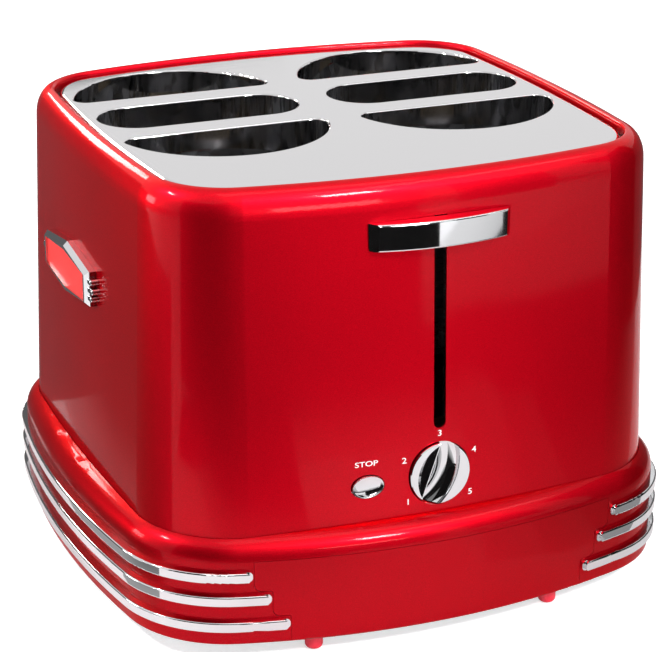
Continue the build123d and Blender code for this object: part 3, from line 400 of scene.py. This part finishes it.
# Sheets that overlap lie at different heights, so that it is clear which one is on top.
lying_card("slanted_sheet", (0.62, -0.247), (0.1535, -0.472), 0.235, lift=0.0007)
lying_card("pale_sheet", (0.75, -0.50), (0.19, -0.50), 0.25, 0.80, 1.05, lift=0.0004)
for name, right_end, left_end, near_tone, far_tone in (
        ("right_foot_sheet", (0.5535, 0.0305), (0.1545, -0.1769), 0.35, 0.0),
        ("right_foot_sheet_edge", (0.1545, -0.1769), (0.11, -0.20), 0.55, 0.25),
        ("right_foot_sheet_rim", (0.11, -0.20), (0.0656, -0.2231), 0.75, 0.50)):
    lying_card(name, right_end, left_end, 0.28, near_tone, far_tone, lift=0.0014)
standing_card("front_card", (-0.40, -0.64), (0.19, -0.64), 0.20)
standing_card("dark_room", (-2.4, -3.0), (1.2, -3.0), 2.6, 0.25, 0.25)
print("front cards ready")

# %% Cards on the left and the right
top_lift = 0.0012
lying_card("left_corner_sheet", (-0.22, -0.50), (-0.42, -0.16), 0.13, lift=top_lift)
standing_card("left_corner_card", (-0.26, -0.62), (-0.56, -0.22), 0.5)
lying_card("left_side_sheet_near", (-0.20, -0.12), (-0.20, 0.80), 0.07, 0.45, 0.13)
lying_card("left_side_sheet_far", (-0.27, -0.12), (-0.27, 0.80), 0.55, 0.13, 0.11)
lying_card("rear_left_sheet", (-0.27, 0.24), (0.30, 0.24), 0.50, 0.14, 0.11, lift=top_lift)
standing_card("left_side_card", (0.30, 0.82), (-0.85, 0.50), 0.42, 0.13, 0.13)
standing_card("right_flag", (0.26, -0.63), (0.50, -0.63), 0.55, foot=0.12)
standing_card("right_corner_card", (0.54, -0.50), (0.56, -0.05), 0.6)
standing_card("right_side_card", (0.56, -0.05), (0.50, 0.60), 0.35, 0.12, 0.12)
print("side cards ready")

# %% [markdown]
# ## Candy red enamel
#
# The paint is two layers: a red that holds metal flakes, and a clear coat over it. The first
# layer is partly metallic and a little rough, so that it goes from bright to deep red across a
# curve, and the coat gives the clear highlights. A fine noise stands for the flakes, and a very
# low bump in the coat for the slight waves of sprayed paint. The skirt is moulded and painted to
# match, and comes out a shade deeper.


# %% Enamel
def candy_paint(name, dark, light, coat_ior):
    """Flaked red under a clear coat."""
    paint, tree, shader = start_material(name)
    flake = object_noise(tree, scale=2600.0, detail=1.0)
    to_colour(tree, shader, flake, (0.35, dark), (0.65, light))
    cloud = object_noise(tree, scale=9.0, detail=3.0)
    to_roughness(tree, shader, cloud, 0.40, 0.45)
    shader.inputs["Metallic"].default_value = 0.87
    shader.inputs["Specular IOR Level"].default_value = 0.1
    shader.inputs["Specular Tint"].default_value = (0.9, 0.05, 0.08, 1.0)
    shader.inputs["Coat Weight"].default_value = 1.0
    shader.inputs["Coat IOR"].default_value = coat_ior
    shader.inputs["Coat Roughness"].default_value = 0.08
    wave = object_noise(tree, scale=160.0, detail=1.0)
    add_bump(tree, shader, wave, strength=0.02, distance=0.0003, socket="Coat Normal")
    return paint


enamel = candy_paint("candy_enamel", (0.54, 0.0012, 0.009), (0.68, 0.003, 0.014), 1.18)
moulded_red = candy_paint("candy_moulding", (0.38, 0.001, 0.006), (0.50, 0.002, 0.010), 1.16)
print("paints", enamel.name, moulded_red.name)

# %% [markdown]
# ## Badge inlay
#
# The field of the side badge is a paler, plainer red, as of enamel poured into a frame and left
# to set. It isn't metallic, so it keeps the same colour from all sides. A faint fleck keeps it
# from looking like plastic film.

# %% Badge inlay
badge_red, tree, shader = start_material("badge_inlay")
fleck = object_noise(tree, scale=900.0)
two_tones(tree, shader, fleck, (0.96, 0.045, 0.045), (1.0, 0.062, 0.056))
shader.inputs["Roughness"].default_value = 0.4
shader.inputs["Specular IOR Level"].default_value = 0.2
add_bump(tree, shader, fleck, strength=0.06, distance=0.0002)
print("inlay", badge_red.name)

# %% [markdown]
# ## Plated chrome
#
# The bars, the badge frames, the handle, the dial and the button are plated. Plating is an
# almost clean mirror, so the colour stays the same all over. Only the roughness changes a
# little, and a very low bump gives the slight ripple of a buffed casting.

# %% Plated trim
chrome, tree, shader = start_material("plated_chrome")
shader.inputs["Base Color"].default_value = (0.66, 0.66, 0.675, 1.0)
shader.inputs["Metallic"].default_value = 1.0
haze = object_noise(tree, scale=40.0, detail=3.0)
to_roughness(tree, shader, haze, 0.03, 0.07)
ripple = object_noise(tree, scale=70.0, detail=1.0)
add_bump(tree, shader, ripple, strength=0.04, distance=0.0004)
print("plating", chrome.name)

# %% [markdown]
# ## Polished top
#
# The top plate and the chutes under its slots are pressed from steel and polished along one
# direction. What tells this from plating is the grain: the noise is squeezed fourteen times in
# one direction, which draws it out into faint lines.

# %% Polished top
polished, tree, shader = start_material("polished_steel")
shader.inputs["Base Color"].default_value = (0.62, 0.61, 0.62, 1.0)
shader.inputs["Metallic"].default_value = 1.0
lines = object_noise(tree, scale=60.0, detail=3.0, stretch=(1.0, 14.0, 1.0))
to_roughness(tree, shader, lines, 0.045, 0.085)
add_bump(tree, shader, lines, strength=0.02, distance=0.0002)
print("top", polished.name)

# %% [markdown]
# ## Rolled and galvanised steel
#
# The lift, the racks and the rods are plain rolled steel, which has long fine scratches. The
# chambers, the bottom and the tray are galvanised sheet, which shows the leafy crystals of zinc.
# A stretched noise gives the first, and a pattern of cells gives the second, with a tone and a
# roughness of its own for each cell.

# %% Rolled steel
steel, tree, shader = start_material("rolled_steel")
grain = object_noise(tree, scale=45.0, detail=4.0, stretch=(1.0, 1.0, 22.0))
two_tones(tree, shader, grain, (0.42, 0.42, 0.43), (0.60, 0.60, 0.61))
shader.inputs["Metallic"].default_value = 1.0
to_roughness(tree, shader, grain, 0.24, 0.40)
add_bump(tree, shader, grain, strength=0.08, distance=0.0003)
print("steel", steel.name)

# %% Galvanised sheet
galvanised, tree, shader = start_material("galvanised_sheet")
place = tree.nodes.new("ShaderNodeTexCoord")
crystal = tree.nodes.new("ShaderNodeTexVoronoi")
crystal.inputs["Scale"].default_value = 90.0
tree.links.new(place.outputs["Object"], crystal.inputs["Vector"])
cell = tree.nodes.new("ShaderNodeSeparateColor")
tree.links.new(crystal.outputs["Color"], cell.inputs["Color"])
to_colour(tree, shader, cell.outputs["Red"], (0.0, (0.38, 0.39, 0.41)), (1.0, (0.60, 0.61, 0.63)))
shader.inputs["Metallic"].default_value = 1.0
to_roughness(tree, shader, cell.outputs["Green"], 0.22, 0.42)
print("sheet", galvanised.name)

# %% [markdown]
# ## Heating ribbon, iron core and copper winding
#
# The ribbon in each chamber has been red hot and is dark with scale, so it is rough and blotchy.
# The core of the holding magnet is raw iron with small pits. Its winding is one long wire, and a
# wave pattern in the upright direction draws the turns without modelling hundreds of them. The
# wave raises each turn by a bump, and it also makes the colour darker between the turns, which
# is painted shade in the grooves between the wires.

# %% Heating ribbon
scaled_ribbon, tree, shader = start_material("oxidised_ribbon")
scale_spots = object_noise(tree, scale=220.0, detail=4.0)
two_tones(tree, shader, scale_spots, (0.10, 0.085, 0.075), (0.24, 0.20, 0.17))
shader.inputs["Metallic"].default_value = 0.8
shader.inputs["Roughness"].default_value = 0.55
add_bump(tree, shader, scale_spots, strength=0.2, distance=0.0002)
print("ribbon", scaled_ribbon.name)

# %% Iron core
iron, tree, shader = start_material("core_iron")
pits = object_noise(tree, scale=380.0, detail=4.0)
two_tones(tree, shader, pits, (0.10, 0.10, 0.105), (0.19, 0.19, 0.20))
shader.inputs["Metallic"].default_value = 0.9
shader.inputs["Roughness"].default_value = 0.5
add_bump(tree, shader, pits, strength=0.25, distance=0.0002)
print("core", iron.name)

# %% Copper winding
copper, tree, shader = start_material("copper_winding")
place = tree.nodes.new("ShaderNodeTexCoord")
turns = tree.nodes.new("ShaderNodeTexWave")
turns.bands_direction = "Z"
turns.inputs["Scale"].default_value = 640.0
tree.links.new(place.outputs["Object"], turns.inputs["Vector"])
turns_and_groove_shade = turns.outputs["Fac"]
# The dark end of this colour is painted shade in the grooves between turns; the light end is the
# copper.
to_colour(tree, shader, turns_and_groove_shade, (0.2, (0.30, 0.10, 0.04)), (0.8, (0.72, 0.32, 0.16)))
shader.inputs["Metallic"].default_value = 0.9
shader.inputs["Roughness"].default_value = 0.35
add_bump(tree, shader, turns_and_groove_shade, strength=0.5, distance=0.0003)
print("winding", copper.name)

# %% [markdown]
# ## Plastics and rubber
#
# None of these is metallic. The black moulding has the fine spark texture that hides marks from
# the mould. The small feet are bright red and smoother. The grommet for the cord is rubber, dull
# with a slight bloom. The same three steps make each of them, with other numbers.

# %% Black moulding
black_plastic, tree, shader = start_material("black_moulding")
spark = object_noise(tree, scale=1400.0)
two_tones(tree, shader, spark, (0.012, 0.012, 0.013), (0.028, 0.028, 0.03))
to_roughness(tree, shader, spark, 0.38, 0.5)
add_bump(tree, shader, spark, strength=0.25, distance=0.0001)
print("moulding", black_plastic.name)

# %% Red feet
foot_plastic, tree, shader = start_material("foot_plastic")
mould = object_noise(tree, scale=500.0)
two_tones(tree, shader, mould, (0.80, 0.018, 0.045), (0.92, 0.03, 0.065))
shader.inputs["Roughness"].default_value = 0.3
add_bump(tree, shader, mould, strength=0.1, distance=0.0002)
print("feet", foot_plastic.name)

# %% Rubber
rubber, tree, shader = start_material("black_rubber")
bloom = object_noise(tree, scale=300.0, detail=3.0)
two_tones(tree, shader, bloom, (0.014, 0.014, 0.014), (0.035, 0.035, 0.036))
shader.inputs["Roughness"].default_value = 0.75
add_bump(tree, shader, bloom, strength=0.2, distance=0.0002)
print("grommet", rubber.name)

# %% [markdown]
# ## Mica cards and the control board
#
# The ribbon is wound on mica, which is pressed from flakes and so is mottled in three tones. The
# board is brown paper laminate. A brick pattern draws its straight tracks under the varnish. The
# board stands upright, so the pattern is turned to lie on its face.

# %% Mica
mica, tree, shader = start_material("mica_card")
leaf = object_noise(tree, scale=120.0, detail=5.0)
to_colour(tree, shader, leaf, (noise_low, (0.36, 0.27, 0.17)), (0.5, (0.55, 0.45, 0.31)),
          (noise_high, (0.68, 0.60, 0.46)))
to_roughness(tree, shader, leaf, 0.3, 0.5)
add_bump(tree, shader, leaf, strength=0.15, distance=0.0003)
print("mica", mica.name)

# %% Paper laminate board
laminate, tree, shader = start_material("board_laminate")
place = tree.nodes.new("ShaderNodeTexCoord")
upright = tree.nodes.new("ShaderNodeMapping")
upright.inputs["Rotation"].default_value = (math.radians(90), 0, 0)
tracks = tree.nodes.new("ShaderNodeTexBrick")
tracks.inputs["Scale"].default_value = 120.0
tracks.inputs["Color1"].default_value = (0.115, 0.062, 0.030, 1.0)
tracks.inputs["Color2"].default_value = (0.090, 0.050, 0.026, 1.0)
tracks.inputs["Mortar"].default_value = (0.20, 0.11, 0.055, 1.0)
tree.links.new(place.outputs["Object"], upright.inputs["Vector"])
tree.links.new(upright.outputs["Vector"], tracks.inputs["Vector"])
tree.links.new(tracks.outputs["Color"], shader.inputs["Base Color"])
shader.inputs["Roughness"].default_value = 0.45
add_bump(tree, shader, tracks.outputs["Fac"], strength=0.2, distance=0.0002)
print("board", laminate.name)

# %% [markdown]
# ## Give each piece its finish
#
# One list per finish is easier to read and to change than a line per piece. A piece keeps the
# mesh that it came with, and only its material slot is filled again.


# %% Names on both sides
def both_sides(*names):
    """The left and the right piece of each name."""
    return [side + name for side in ("left_", "right_") for name in names]


print("for example", both_sides("badge_frame"))

# %% Finishes by piece
finishes = [
    (enamel, ["body_shell"]),
    (moulded_red, ["base_skirt", "base_front_panel", "base_rear_panel", "tray_face"]),
    (badge_red, both_sides("badge_panel")),
    (chrome, ["lever_handle", "dial_knob", "stop_button"]
     + both_sides("upper_trim_bar", "middle_trim_bar", "lower_trim_bar", "badge_frame")),
    (polished, ["top_plate"]
     + both_sides("front_bun_collar", "hot_dog_collar", "rear_bun_collar")),
    (steel, ["lever_arm", "lift_bracket", "latch_armature", "lift_spine", "guide_rods",
             "return_springs", "timer_shaft", "bottom_screws", "tray_runners"]
     + both_sides("racks", "guard_wires", "heater_rails")),
    (galvanised, ["rod_bracket", "bottom_plate", "drip_tray"]
     + both_sides("chamber", "drip_deflector")),
    (scaled_ribbon, both_sides("heater_ribbons")),
    (mica, both_sides("heater_cards")),
    (black_plastic, ["top_frame", "timer_body", "stop_switch"]),
    (foot_plastic, ["feet"]),
    (rubber, ["cord_gland"]),
    (laminate, ["control_board"]),
    (iron, ["magnet_core"]),
    (copper, ["magnet_coil"]),
]
dressed = set()
for material, names in finishes:
    for name in names:
        mesh = pieces[name].data
        mesh.materials.clear()
        mesh.materials.append(material)
        dressed.add(name)
print("without a finish", sorted(set(pieces) - dressed))

# %% [markdown]
# ## Where the front wall is
#
# The front wall leans back a little towards the top and is bowed from side to side, as part of a
# very large cone. Print has to follow both, or one end of a word would sink in and the other
# would float. So the place and the sideways turn of the wall are worked out for any point.

# %% Front wall
wall_half_depth = 0.1413
wall_top = 0.2475
wall_slope = math.tan(math.radians(1.84))
wall_bow = 0.540


def front_wall(x, z):
    """How far forward the wall is, and its sideways turn there."""
    lean = (wall_top - z) * wall_slope
    bow = wall_bow + lean
    y = -(wall_half_depth + lean) + bow - math.sqrt(bow**2 - x**2)
    return y, math.asin(x / bow)


print("wall beside the dial", round(front_wall(0.02, 0.089)[0], 4))

# %% [markdown]
# ## White ink
#
# Screen print is a matt, slightly uneven layer. The ink is nearly white and not quite the same
# all over, which a fine noise gives.

# %% White ink
ink, tree, shader = start_material("white_ink")
speckle = object_noise(tree, scale=900.0, detail=3.0)
two_tones(tree, shader, speckle, (0.80, 0.78, 0.78), (0.92, 0.90, 0.90))
shader.inputs["Roughness"].default_value = 0.4
print("ink", ink.name)

# %% [markdown]
# ## Print on the front
#
# The numbers round the dial and the word over the button are screen printed. A text object is
# turned into a mesh first and then placed, so that its outline stays exact. Each mark is turned
# to the lean and the bow of the wall where it sits and stands a few hundredths of a millimetre
# proud, as thick ink does.

# %% One printed mark
ink_depth = 0.00012
ink_proud = 0.00004
ink_spread = 0.00003
capital_share = 0.73    # height of a capital for a font size of one


def printed_mark(words, x, z, height, stretch):
    """One flat mark on the front wall, centred at x and z."""
    bpy.ops.object.select_all(action="DESELECT")
    bpy.ops.object.text_add(location=(0, 0, 0))
    text = bpy.context.object
    text.name = "mark_" + words
    text.data.body = words
    text.data.align_x = "CENTER"
    text.data.align_y = "CENTER"
    text.data.size = height / capital_share
    text.data.offset = ink_spread
    text.data.extrude = ink_depth / 2
    text.data.resolution_u = 4
    bpy.ops.object.convert(target="MESH")
    mark = bpy.context.object
    corners = mark.data.vertices
    low = Vector([min(corner.co[i] for corner in corners) for i in range(3)])
    high = Vector([max(corner.co[i] for corner in corners) for i in range(3)])
    for corner in corners:
        corner.co -= (low + high) / 2
        corner.co.x *= stretch
    y, turn = front_wall(x, z)
    lean_back = math.radians(90) - math.atan(wall_slope)
    mark.rotation_euler = (lean_back, 0, turn)
    mark.location = (x, y - ink_proud + ink_depth / 2, z)
    bpy.ops.object.transform_apply(location=True, rotation=True, scale=True)
    mark.data.materials.clear()
    mark.data.materials.append(ink)
    return mark


print("ink stands out by", ink_proud)

# %% Word over the button and numbers round the dial
stop_x, stop_z = -0.0403, 0.1000
stop_height, stop_stretch = 0.0029, 1.32
dial_x, dial_z = 0.0, 0.089
scale_radius = 0.0221
scale_step = 63.5
digit_height, digit_stretch = 0.0033, 1.2

marks = [printed_mark("STOP", stop_x, stop_z, stop_height, stop_stretch)]
for number in range(1, 6):
    angle = math.radians(90 - (number - 3) * scale_step)
    x = dial_x + scale_radius * math.cos(angle)
    z = dial_z + scale_radius * math.sin(angle)
    marks.append(printed_mark(str(number), x, z, digit_height, digit_stretch))
print("marks", len(marks))

# %% One piece of print
bpy.ops.object.select_all(action="DESELECT")
for mark in marks:
    mark.select_set(True)
bpy.context.view_layer.objects.active = marks[0]
bpy.ops.object.join()
front_print = bpy.context.object
front_print.name = "front_print"
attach(front_print, "toaster")
print("print faces", len(front_print.data.polygons))
